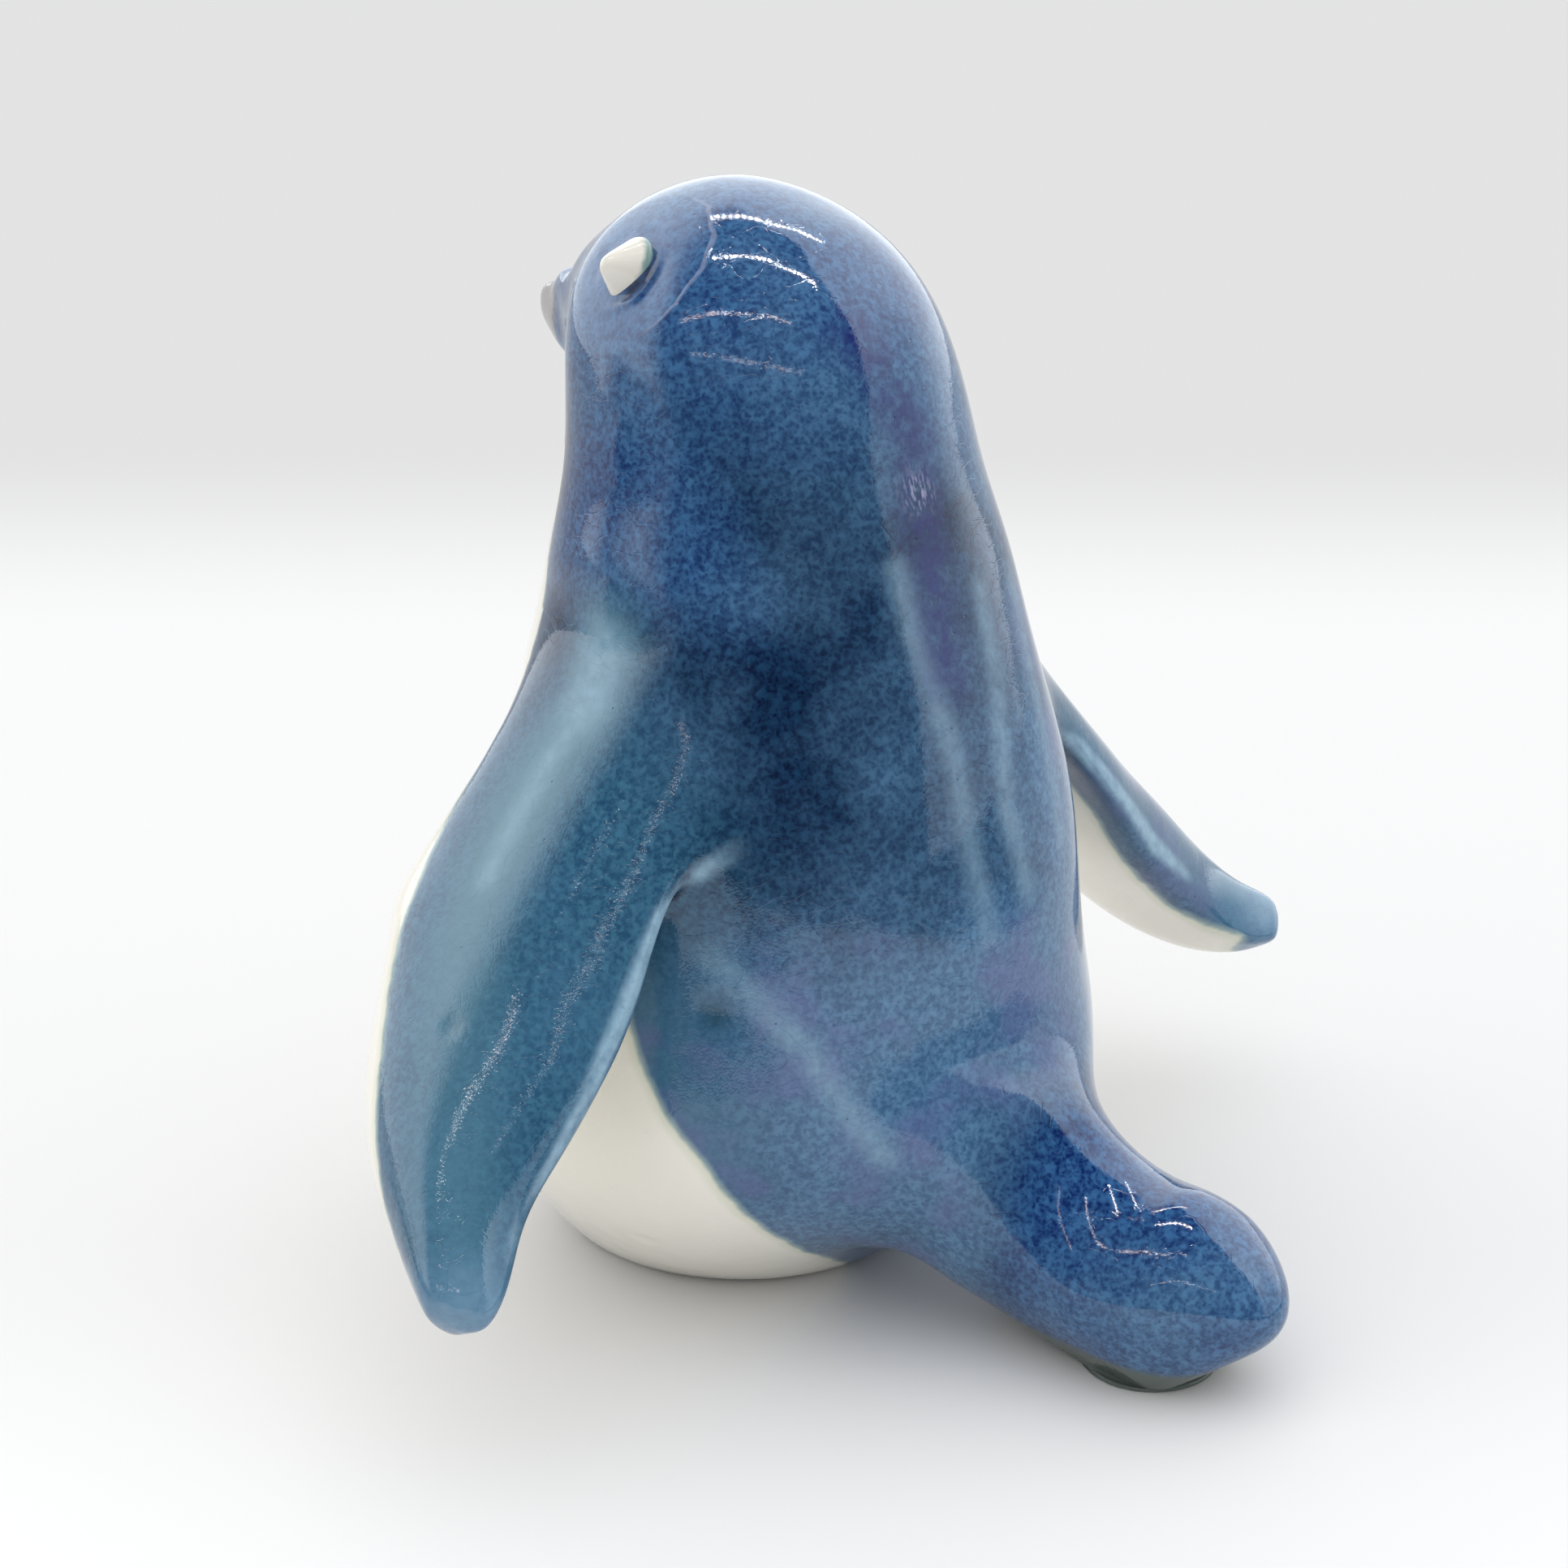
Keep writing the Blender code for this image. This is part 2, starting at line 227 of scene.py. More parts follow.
def relaxed(mesh, points, chosen, rounds):
    # smooths the chosen part; each step out makes up for the shrinking of the step in
    edges = np.empty(len(mesh.edges) * 2, dtype=np.int64)
    mesh.edges.foreach_get("vertices", edges)
    edges = edges.reshape(-1, 2)
    edges = edges[chosen[edges[:, 0]] & chosen[edges[:, 1]]]
    index = np.full(len(points), -1)
    index[chosen] = np.arange(chosen.sum())
    a, b = index[edges[:, 0]], index[edges[:, 1]]
    total = chosen.sum()
    count = np.maximum(np.bincount(a, minlength=total) + np.bincount(b, minlength=total), 1)
    part = points[chosen].copy()
    for turn in range(rounds):
        step = 0.60 if turn % 2 == 0 else -0.612
        for k in range(3):
            near = np.bincount(a, part[b, k], total) + np.bincount(b, part[a, k], total)
            part[:, k] += step * (near / count - part[:, k])
    result = points.copy()
    result[chosen] = part
    return result


def facingOut(normals, side):
    # how far the surface looks outward and up, as the outer face of a wing does
    return normals[:, 0] * side * 0.69 + normals[:, 2] * 0.72


def wingShare(folded):
    # 1 on the wings, 0 on the body
    away = np.hypot(folded[:, 0], folded[:, 1] - figurine["axisY"]) - lookUp(bodyProfile, folded[:, 2])
    return smoothStep(1.0, 5.0, away) * (folded[:, 0] > 30) * (folded[:, 2] < 75)


def sideOfPath(points, normals, path):
    # distance to a path on the surface, positive on its left hand side when walking along it
    path = np.array(path, float)
    best = np.full(len(points), 1e9)
    sign = np.ones(len(points))
    for i in range(len(path) - 1):
        start, step = path[i], path[i + 1] - path[i]
        share = np.clip((points - start) @ step / (step @ step), 0, 1)
        gap = points - start - share[:, None] * step
        far = np.linalg.norm(gap, axis=1)
        near = far < best
        best[near] = far[near]
        across = np.cross(normals[near], step)
        sign[near] = np.sign((across * gap[near]).sum(axis=1))
    return best * sign


def creamField(points, normals):
    # mm inside the cream area; below zero is blue
    side = np.where(points[:, 0] < 0, -1.0, 1.0)
    folded = toLeftSide(points)
    turned = np.column_stack((normals[:, 0] * side, normals[:, 1], normals[:, 2]))
    away = folded[:, 1] - figurine["axisY"]
    turn = np.degrees(np.arctan2(away, folded[:, 0]))
    below = (lookUp(creamBelow, points[:, 2]) - turn) * np.hypot(folded[:, 0], away) * pi / 180
    above = -sideOfPath(folded, turned, creamAbove)
    between = smoothStep(-0.15, 0.15, normals[:, 2])
    upper = np.where(points[:, 2] < 55, 0, np.where(points[:, 2] > 70, 1, between))
    onBody = below * (1 - upper) + above * upper
    fromRear = farFromPath(folded, rearEdge)
    fromTip = farFrom(folded, wingTip) - figurine["blueTip"]
    inner = np.minimum(fromRear - figurine["blueEdgeInside"], fromTip)
    inside = smoothStep(0.1, -0.1, facingOut(normals, side))
    share = wingShare(folded)
    cream = onBody * (1 - share) + (above * (1 - inside) + inner * inside) * share
    tail = smoothStep(40, 44, points[:, 1])
    cream = np.minimum(cream, figurine["creamTop"] - points[:, 2])
    cream = np.where(share > 0, np.minimum(cream, fromTip), cream)
    return np.clip(cream * (1 - tail) - 6 * tail, -6, 6)


def eyeFrame(side):
    # middle of an eye's root, and the directions out of the head, back and up
    centre = np.array(eyeCentre) * (side, 1, 1)
    out = np.array(eyeOut) * (side, 1, 1)
    out /= np.linalg.norm(out)
    back = np.cross((0, 0, 1), out)
    back *= side / np.linalg.norm(back)
    up = np.cross(out, back) * side
    return centre, out, back, up


def curvedTerms(across, rise):
    return np.column_stack((np.ones_like(across), across, rise, across ** 2, across * rise, rise ** 2))


def smoothEyePlace(points, side):
    # takes the eye's own solid off the head and leaves a shallow dish round its place
    centre, out, back, up = eyeFrame(side)
    local = np.column_stack([(points - centre) @ axis for axis in (back, up, out)])
    radius = np.hypot(local[:, 0], local[:, 1])
    close = (np.abs(local[:, 2]) < 12) & (radius < 16)
    ring = close & (radius > 6.5) & (radius < 10)
    shape, *_ = np.linalg.lstsq(curvedTerms(local[ring, 0], local[ring, 1]), local[ring, 2], rcond=None)
    keep = smoothStep(4.8, 6.5, radius[close])
    level = curvedTerms(local[close, 0], local[close, 1]) @ shape
    height = level * (1 - keep) + local[close, 2] * keep
    share = radius[close] / figurine["dishRadius"]
    height -= figurine["dishDepth"] * np.clip(1 - share ** 2, 0, 1)
    points[close] += np.outer(height - local[close, 2], out)


def dishFields(points):
    # mm outward from the rim of the nearer dish, and 1 along the rear part of the rim
    out = np.full(len(points), 20.0)
    arc = np.zeros(len(points))
    for side in (1, -1):
        centre, axis, back, up = eyeFrame(side)
        across, rise = (points - centre) @ back, (points - centre) @ up
        near = farFrom(points, centre) < 18
        out[near] = (np.hypot(across, rise) - figurine["dishRadius"])[near]
        turn = np.degrees(np.arctan2(rise, across))
        arc[near] = (smoothStep(-60, -10, turn) * smoothStep(95, 60, turn))[near]
    return np.clip(out, -20, 6), arc


def poolBehindEyes(points):
    # 1 in the crescent of dark glaze behind each eye
    centre, out, back, up = eyeFrame(1)
    behind = centre + back * 3.4 - up * 0.4
    crescent = (behind + up * 4 - back * 1.2, behind + back, behind - up * 4 - back * 1.5)
    return bump(farFromPath(mirroredOver(points), crescent), 2.0)


def shapeFigurine(mesh):
    # smooths the tail, the eyes' places and the beak's root, then presses the dents in
    points = readPoints(mesh)
    blend = (smoothStep(50, 58, points[:, 1]) * smoothStep(2, 6, points[:, 2]))[:, None]
    calm = relaxed(mesh, points, points[:, 1] > 44, figurine["tailRounds"])
    points = points * (1 - blend) + calm * blend
    for side in (1, -1):
        smoothEyePlace(points, side)
    brow = bump(farFrom(mirroredOver(points), figurine["browPlace"]), figurine["browReach"])
    brow *= points[:, 1] < 0
    swell = np.tile((0.0, -0.75, 0.45), (len(points), 1))
    swell[:, 0] = 0.45 * np.clip(points[:, 0] / 6, -1, 1)
    points += swell * (figurine["browLift"] * brow)[:, None]
    writePoints(mesh, points)
    normals = readNormals(mesh)
    root = bump(farFrom(points, figurine["beakRoot"]), figurine["beakRootReach"])
    root *= smoothStep(-28, -23, points[:, 1])
    for _ in range(4):
        calm = averageOfNeighbours(mesh, points, figurine["beakRootRounds"])
        fill = ((calm - points) * normals).sum(axis=1)
        points += normals * (np.clip(fill, 0, 2) * root)[:, None]
        writePoints(mesh, points)
        normals = readNormals(mesh)
    for place, radius, depth, _ in dents:
        points -= normals * (depth * bump(farFrom(points, place), radius))[:, None]
    writePoints(mesh, points)
    return points, readNormals(mesh)


def paleGlazeAndHighlights(points, folded, outer):
    # thin glaze on wing ridges and tips and in runs on the back, and painted highlight on the shoulder and
    # in a streak down the middle of the wing
    paleAndHighlight = smoothStep(2.0, 0.5, farFromPath(folded, rearRidge))
    paleAndHighlight *= smoothStep(30, 38, folded[:, 0]) * smoothStep(76, 70, folded[:, 0])
    for run in paleRuns:
        paleAndHighlight = np.maximum(paleAndHighlight, 0.45 * bump(farFromPath(points, run), 3.2))
    shoulderHighlight = 0.6 * bump(farFromPath(folded, wingMiddle[:2]), 7) * smoothStep(102, 97, points[:, 2])
    wingHighlight = 0.4 * bump(farFromPath(folded, wingMiddle[:5]), 3.5)
    tip = 0.45 * bump(farFrom(folded, wingTip), 11)
    return np.maximum(paleAndHighlight, np.maximum(np.maximum(shoulderHighlight, wingHighlight) * outer, tip))


def storeGlazeFields(mesh, points, normals):
    # one value per point and effect, which the glaze reads as attributes
    height = points[:, 2]
    folded = toLeftSide(points)
    outward = folded[:, 0]
    outer = smoothStep(-0.1, 0.25, facingOut(normals, np.sign(normals[:, 0])))
    storeField(mesh, "cream", creamField(points, normals))
    forward = np.abs(points[:, 0]) * 0.681 - points[:, 1] * 0.732
    onBeak = (height > 124) & (points[:, 1] < -22)
    storeField(mesh, "beak", np.where(onBeak, forward - figurine["beakStart"], -6))
    cobalt = np.maximum(smoothStep(108, 138, height), smoothStep(50, 64, points[:, 1]))
    cobalt = np.maximum(cobalt, 0.8 * smoothStep(20, 27, outward) * smoothStep(92, 106, height))
    cobalt = np.maximum(cobalt, 0.7 * bump(farFrom(folded, wingTip), 12))
    storeField(mesh, "cobalt", cobalt)
    storeField(mesh, "teal", smoothStep(26, 42, outward) * smoothStep(100, 84, height) * outer)
    middle = bump(farFromPath(folded, wingMiddle), 11) * outer
    storeField(mesh, "smoothGlaze", middle * (0.45 + 0.55 * smoothStep(45, 75, height)))
    # pale thin glaze, with painted highlight on the shoulder and down the wing's middle
    storeField(mesh, "paleAndHighlight", paleGlazeAndHighlights(points, folded, outer))
    # paler glaze low on the body and on its right side: painted reflection of the pale tent
    paintedVeil = smoothStep(68, 50, height) * (1 - wingShare(folded)) * (1 - smoothStep(50, 60, points[:, 1]))
    storeField(mesh, "paintedVeil", np.maximum(paintedVeil, 0.7 * smoothStep(-4, -14, points[:, 0]) * (1 - cobalt)))
    storeField(mesh, "violet", bump(farFromPath(points, violetRun), 6.5))
    # painted highlight streaks on the violet run
    storeField(mesh, "paintedSheen", bump(farFrom(points, sheenStreakSpot), 4.5))
    # the glaze is pitted on the wings and the neck, and runs smooth on the crown and the tail
    rough = np.maximum(smoothStep(28, 36, outward), 0.2 * smoothStep(140, 134, height))
    storeField(mesh, "rough", rough * smoothStep(60, 50, points[:, 1]))
    storeField(mesh, "foot", bump(height, 8.5) * (points[:, 1] > 50))
    # darker glaze round dents; under the wing's rear edge it is painted shade of the armpit
    dark = np.zeros(len(points))
    for place, _, _, reach in dents:
        if reach:
            dark = np.maximum(dark, bump(farFrom(points, place), reach))
    storeField(mesh, "dark", dark)
    calm = averageOfNeighbours(mesh, points, 60)
    storeField(mesh, "hollow", ((calm - points) * normals).sum(axis=1))
    rim, arc = dishFields(points)
    storeField(mesh, "rim", rim)
    storeField(mesh, "rimArc", arc)
    # where the dish's painted reflection goes
    storeField(mesh, "dish", smoothStep(0.5, -4.0, rim))
    storeField(mesh, "eyePool", poolBehindEyes(points))


def buildFigurine():
    piece = refinedCopy(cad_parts["penguin"], "penguin_glazed", figurine["smoothLevels"])
    points, normals = shapeFigurine(piece.data)
    storeGlazeFields(piece.data, points, normals)
    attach(piece, "root")
    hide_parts("penguin")
    return piece


# Eyes: pinched four sided nubs of pale glaze

eyes = {
    # corners of the root, in mm back and up from its middle: top, rear, bottom, front
    "corners": ((0.7, 4.5), (2.9, 3.6), (3.9, 0.6), (2.6, -2.6), (0.2, -5.5), (-2.5, -3.4), (-3.0, 0.0),
                (-1.9, 3.0)),
    "reach": 4.2,              # mm that the nub stands out
    "tipShift": (-0.1, -0.6),
    "sink": 1.6,               # mm of the nub inside the head
    "seat": 0.35,              # mm that its root lies below the head's surface
    "smoothLevels": 3,
    # share of the reach, and size there against the root
    "rings": ((0.0, 1.0), (0.12, 0.88), (0.38, 0.68), (0.68, 0.45), (0.93, 0.24), (1.0, 0.08)),
}


def buildEye(side):
    centre, out, back, up = (Vector(axis) for axis in eyeFrame(side))
    work = bmesh.new()
    bmesh.ops.create_circle(work, cap_ends=True, segments=len(eyes["corners"]), radius=1)
    face = work.faces[:][0]
    for level, size in ((-eyes["sink"] / eyes["reach"], 1.06),) + eyes["rings"]:
        if level >= 0:    # the first ring, inside the head, is the circle itself
            face = bmesh.ops.extrude_discrete_faces(work, faces=[face])["faces"][0]
        shiftBack, shiftUp = (shift * max(level, 0) for shift in eyes["tipShift"])
        for vert, (toBack, toUp) in zip(face.verts, eyes["corners"]):
            place = centre + back * (toBack * size + shiftBack) + up * (toUp * size + shiftUp)
            vert.co = (place + out * (level * eyes["reach"] - eyes["seat"])) / 1000
    bmesh.ops.holes_fill(work, edges=[edge for edge in work.edges if edge.is_boundary], sides=0)
    bmesh.ops.recalc_face_normals(work, faces=work.faces)
    name = "eye_left" if side > 0 else "eye_right"
    mesh = bpy.data.meshes.new(name)
    work.to_mesh(mesh)
    work.free()
    mesh.shade_smooth()
    piece = bpy.data.objects.new(name, mesh)
    bpy.context.scene.collection.objects.link(piece)
    smooth = piece.modifiers.new("smooth", "SUBSURF")
    smooth.levels = smooth.render_levels = eyes["smoothLevels"]
    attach(piece, "root")
    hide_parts("penguin")
    return piece


# Node helpers

def addNode(tree, kind, wires=None, **settings):
    made = tree.nodes.new(kind)
    for key, value in settings.items():
        setattr(made, key, value)
    for socket, value in (wires or {}).items():
        if isinstance(value, bpy.types.NodeSocket):
            tree.links.new(value, made.inputs[socket])
        else:
            made.inputs[socket].default_value = value
    return made


def maths(tree, operation, first, second=0.0, third=None, clamp=False):
    wires = {0: first, 1: second}
    if third is not None:
        wires[2] = third
    return addNode(tree, "ShaderNodeMath", wires, operation=operation, use_clamp=clamp).outputs[0]


def ramped(tree, value, low, high, start=0.0, end=1.0):
    wires = {"Value": value, "From Min": low, "From Max": high, "To Min": start, "To Max": end}
    return addNode(tree, "ShaderNodeMapRange", wires, interpolation_type="SMOOTHSTEP").outputs["Result"]


def vectorMaths(tree, operation, first, second):
    socket = "Scale" if operation == "SCALE" else 1
    wires = {0: first, socket: second}
    return addNode(tree, "ShaderNodeVectorMath", wires, operation=operation).outputs[0]


def alongAxis(tree, place, axis):
    made = addNode(tree, "ShaderNodeVectorMath", {0: place, 1: axis}, operation="DOT_PRODUCT")
    return made.outputs["Value"]


def noise(tree, place, scale, detail, roughness=0.5, output="Fac"):
    wires = {"Vector": place, "Scale": scale, "Detail": detail, "Roughness": roughness}
    return addNode(tree, "ShaderNodeTexNoise", wires).outputs[output]


def warped(tree, place, scale, detail, amount):
    shift = vectorMaths(tree, "SUBTRACT", noise(tree, place, scale, detail, output="Color"), (0.5, 0.5, 0.5))
    return vectorMaths(tree, "ADD", place, vectorMaths(tree, "SCALE", shift, amount))


def blended(tree, share, first, second):
    wires = {"Factor": share}
    for index, value in ((6, first), (7, second)):
        wires[index] = value if isinstance(value, bpy.types.NodeSocket) else (*value, 1.0)
    return addNode(tree, "ShaderNodeMix", wires, data_type="RGBA").outputs[2]


def newGroup(name, inputs, outputs):
    group = bpy.data.node_groups.new(name, "ShaderNodeTree")
    for socketName, kind, value in inputs:
        socket = group.interface.new_socket(socketName, in_out="INPUT", socket_type=kind)
        if value is not None:
            socket.default_value = value
    for socketName, kind in outputs:
        group.interface.new_socket(socketName, in_out="OUTPUT", socket_type=kind)
    return group, group.nodes.new("NodeGroupInput"), group.nodes.new("NodeGroupOutput")


def useGroup(tree, group, wires):
    return addNode(tree, "ShaderNodeGroup", wires, node_tree=group)


# Glaze effects, all in millimetres

glazeGrain = {
    "fleck": 0.62,          # size of the dark flecks
    "fleckWander": 1.4,     # how far they are pushed about
    "crackle": 5.0,         # size of the crackle cells
    "crackleWander": 7.0,
    "pinhole": 0.17,        # radius of a pinhole
    "pinholeShare": 0.38,   # of the places where one could be
    "peel": 0.32,           # size of the orange peel
    # heights
    "waveHeight": 0.12,
    "peelHeight": 0.0045,
    "lineHeight": -0.006,
    "holeHeight": -0.05,
}


def fleckGroup():
    group, start, end = newGroup("glaze flecks", [("Vector", "NodeSocketVector", None)],
                                 [("Light", "NodeSocketFloat")])
    place = warped(group, start.outputs[0], 0.9, 2.0, glazeGrain["fleckWander"])
    cells = addNode(group, "ShaderNodeTexVoronoi", {"Vector": place, "Scale": 1 / glazeGrain["fleck"]},
                    feature="SMOOTH_F1")
    fine = maths(group, "SUBTRACT", noise(group, start.outputs[0], 0.8, 4.0, 0.6), 0.5)
    grain = maths(group, "MULTIPLY_ADD", fine, 1.6, cells.outputs["Distance"])
    group.links.new(ramped(group, grain, -0.05, 0.95), end.inputs[0])
    return group


def crackleGroup():
    group, start, end = newGroup("glaze crackle", [("Vector", "NodeSocketVector", None)],
                                 [("Line", "NodeSocketFloat")])
    place = warped(group, start.outputs[0], 0.16, 1.0, glazeGrain["crackleWander"])
    flat = vectorMaths(group, "MULTIPLY", place, (0.8, 0.8, 2.1))
    cells = addNode(group, "ShaderNodeTexVoronoi", {"Vector": flat, "Scale": 1 / glazeGrain["crackle"]},
                    feature="DISTANCE_TO_EDGE")
    group.links.new(ramped(group, cells.outputs["Distance"], 0.004, 0.030, 1.0, 0.0), end.inputs[0])
    return group


def surfaceGroup():
    # height of the glaze's skin: slow waves, orange peel, crackle lines and pinholes
    inputs = [("Vector", "NodeSocketVector", None), ("Line", "NodeSocketFloat", 0.0),
              ("Peel", "NodeSocketFloat", 1.0)]
    outputs = [("Height", "NodeSocketFloat"), ("Pinhole", "NodeSocketFloat")]
    group, start, end = newGroup("glaze surface", inputs, outputs)
    place = start.outputs["Vector"]
    wave = noise(group, place, 0.13, 1.0)
    peel = noise(group, place, 1 / glazeGrain["peel"], 0.5)
    cellsPerMm = 0.42
    holes = addNode(group, "ShaderNodeTexVoronoi", {"Vector": place, "Scale": cellsPerMm})
    chance = addNode(group, "ShaderNodeSeparateColor", {0: holes.outputs["Color"]}).outputs[0]
    there = maths(group, "GREATER_THAN", chance, 1 - glazeGrain["pinholeShare"])
    radius = glazeGrain["pinhole"] * cellsPerMm
    hole = ramped(group, holes.outputs["Distance"], radius * 0.4, radius * 1.3, 1.0, 0.0)
    hole = maths(group, "MULTIPLY", hole, there)
    height = maths(group, "MULTIPLY", wave, glazeGrain["waveHeight"])
    rise = maths(group, "MULTIPLY", peel, glazeGrain["peelHeight"])
    height = maths(group, "ADD", height, maths(group, "MULTIPLY", rise, start.outputs["Peel"]))
    height = maths(group, "MULTIPLY_ADD", start.outputs["Line"], glazeGrain["lineHeight"], height)
    height = maths(group, "MULTIPLY_ADD", hole, glazeGrain["holeHeight"], height)
    group.links.new(height, end.inputs[0])
    group.links.new(hole, end.inputs[1])
    return group


flecks, crackle, surface = fleckGroup(), crackleGroup(), surfaceGroup()

glazeColours = {
    "navyFleck": (0.002, 0.006, 0.030),
    "navyVein": (0.010, 0.043, 0.102),
    "cobaltFleck": (0.003, 0.018, 0.110),
    "cobaltVein": (0.036, 0.128, 0.300),
    "tealFleck": (0.014, 0.062, 0.130),
    "tealVein": (0.046, 0.145, 0.235),
    "thinFleck": (0.040, 0.105, 0.215),
    "thinVein": (0.098, 0.215, 0.360),
    "smooth": (0.105, 0.225, 0.255),
    "paleAndHighlight": (0.250, 0.400, 0.520),
    "violet": (0.014, 0.014, 0.120),
    # mauve of the painted reflection of the pale tent low on the body
    "veilMauve": (0.105, 0.125, 0.290),
    # colour of painted highlights: streaks on the violet run and the rear of each eye's dish rim
    "paintedSheen": (0.30, 0.33, 0.46),
    # colour of the painted reflection in each eye's dish
    "dishReflection": (0.090, 0.165, 0.310),
    # colour of the painted armpit shade round a dent
    "dark": (0.012, 0.050, 0.075),
    "line": (0.010, 0.040, 0.100),
    "haloBlue": (0.30, 0.40, 0.40),
    "haloCream": (0.75, 0.75, 0.63),
    "cream": (0.87, 0.84, 0.755),
    "beak": (0.27, 0.25, 0.25),
    "foot": (0.095, 0.118, 0.105),
    "roughness": 0.06,
    "ior": 1.5,
}


def newMaterial(name):
    material = bpy.data.materials.new(name)
    material.use_nodes = True
    tree = material.node_tree
    tree.nodes.clear()
    shader = tree.nodes.new("ShaderNodeBsdfPrincipled")
    output = tree.nodes.new("ShaderNodeOutputMaterial")
    tree.links.new(shader.outputs[0], output.inputs["Surface"])
    coords = tree.nodes.new("ShaderNodeTexCoord")
    place = vectorMaths(tree, "SCALE", coords.outputs["Object"], 1000.0)    # in mm
    return material, tree, shader, place


def field(tree, name):
    return addNode(tree, "ShaderNodeAttribute", attribute_name=name).outputs["Fac"]


glazeMix = {
    "lineShare": 0.10,      # how strongly each effect covers the blue
    "smoothShare": 0.60,
    "veilMauveShare": 0.50,
    "violetShare": 0.75,
    "paintedSheenShare": 0.80,
    "armpitShadeShare": 0.70,
    "dishReflectionShare": 0.60,
    "rimHighlightShare": 0.45,
    "pinholeShare": 0.55,
    "rimHeight": 0.035,     # mm
    "roughPeel": 2.5,       # extra orange peel where the glaze is pitted
}


def blueGlaze():
    colours, mix = glazeColours, glazeMix
    material, tree, shader, place = newMaterial("blue glaze")
    fleck = useGroup(tree, flecks, {"Vector": place}).outputs["Light"]
    line = useGroup(tree, crackle, {"Vector": place}).outputs["Line"]
    cloud = noise(tree, place, 0.05, 3.0)
    drift = noise(tree, place, 0.45, 2.0)
    mottle = noise(tree, place, 0.09, 4.0)
    wander = maths(tree, "SUBTRACT", noise(tree, place, 0.25, 2.0), 0.5)
    smooth, teal, cobalt = field(tree, "smoothGlaze"), field(tree, "teal"), field(tree, "cobalt")
    # glaze thickness from 0, thin over ridges and low on the body, to 1, pooled in hollows; the thinning low
    # on the body and on its right side is painted reflection of the pale tent
    depth = maths(tree, "MULTIPLY_ADD", cloud, 2.0, -0.05)
    depth = maths(tree, "MULTIPLY_ADD", field(tree, "hollow"), 0.9, depth)
    depth = maths(tree, "SUBTRACT", depth, maths(tree, "MULTIPLY", smooth, 0.9))
    depth = maths(tree, "SUBTRACT", depth, maths(tree, "MULTIPLY", field(tree, "paintedVeil"), 0.85))
    depth = addNode(tree, "ShaderNodeClamp", {0: depth}).outputs[0]
    fleckTone = blended(tree, teal, colours["navyFleck"], colours["tealFleck"])
    veinTone = blended(tree, teal, colours["navyVein"], colours["tealVein"])
    fleckTone = blended(tree, cobalt, fleckTone, colours["cobaltFleck"])
    veinTone = blended(tree, cobalt, veinTone, colours["cobaltVein"])
    deep = blended(tree, fleck, fleckTone, veinTone)
    thin = blended(tree, fleck, colours["thinFleck"], colours["thinVein"])
    thin = blended(tree, maths(tree, "MULTIPLY", teal, 0.75), thin, veinTone)
    blue = blended(tree, depth, thin, deep)
    # mauve mottle low on the body and on its right side: painted reflection of the pale tent
    veilMauve = maths(tree, "MULTIPLY", ramped(tree, mottle, 0.48, 0.66), field(tree, "paintedVeil"))
    blue = blended(tree, maths(tree, "MULTIPLY", veilMauve, mix["veilMauveShare"]), blue, colours["veilMauve"])
    blue = blended(tree, maths(tree, "MULTIPLY", smooth, mix["smoothShare"]), blue, colours["smooth"])
    # runs and spots, broken up by noise
    broken = maths(tree, "MULTIPLY_ADD", drift, 1.4, 0.2)
    # pale thin glaze, with painted highlight on the shoulder and down the wing's middle
    paleAndHighlight = maths(tree, "MULTIPLY", field(tree, "paleAndHighlight"), broken, clamp=True)
    blue = blended(tree, paleAndHighlight, blue, colours["paleAndHighlight"])
    broken = maths(tree, "MULTIPLY_ADD", drift, 3.0, -0.7, clamp=True)
    violet = maths(tree, "MULTIPLY", field(tree, "violet"), broken)
    blue = blended(tree, maths(tree, "MULTIPLY", violet, mix["violetShare"]), blue, colours["violet"])
    # painted highlight: pale combed streaks on the violet run, standing for the glint of its ripples
    combed = noise(tree, vectorMaths(tree, "MULTIPLY", place, (2.2, 2.2, 0.35)), 1.0, 3.0)
    paintedSheen = maths(tree, "MULTIPLY", field(tree, "paintedSheen"), ramped(tree, combed, 0.46, 0.66))
    blue = blended(tree, maths(tree, "MULTIPLY", paintedSheen, mix["paintedSheenShare"]), blue, colours["paintedSheen"])
    # painted armpit shade round the dent under the wing's rear edge
    dark = maths(tree, "MULTIPLY", field(tree, "dark"), mix["armpitShadeShare"])
    blue = blended(tree, dark, blue, colours["dark"])
    # painted reflection of the pale sky in the dish round each eye, painted highlight along the rear of the
    # dish's rim, and the dark pool behind the eye
    broken = maths(tree, "MULTIPLY_ADD", drift, 2.4, -0.7)
    dishReflection = maths(tree, "MULTIPLY", field(tree, "dish"), broken, clamp=True)
    blue = blended(tree, maths(tree, "MULTIPLY", dishReflection, mix["dishReflectionShare"]), blue, colours["dishReflection"])
    broken = maths(tree, "MULTIPLY_ADD", drift, 2.2, -0.2)
    pool = maths(tree, "MULTIPLY", field(tree, "eyePool"), broken, clamp=True)
    blue = blended(tree, pool, blue, colours["navyFleck"])
    # painted highlight along the rear of the rim; the same mask also raises the rim a little in the relief
    rim = maths(tree, "ABSOLUTE", maths(tree, "MULTIPLY_ADD", wander, 1.6, field(tree, "rim")))
    rim = maths(tree, "MULTIPLY", ramped(tree, rim, 0.05, 0.38, 1.0, 0.0), field(tree, "rimArc"))
    blue = blended(tree, maths(tree, "MULTIPLY", rim, mix["rimHighlightShare"]), blue, colours["paintedSheen"])
    blue = blended(tree, maths(tree, "MULTIPLY", line, mix["lineShare"]), blue, colours["line"])
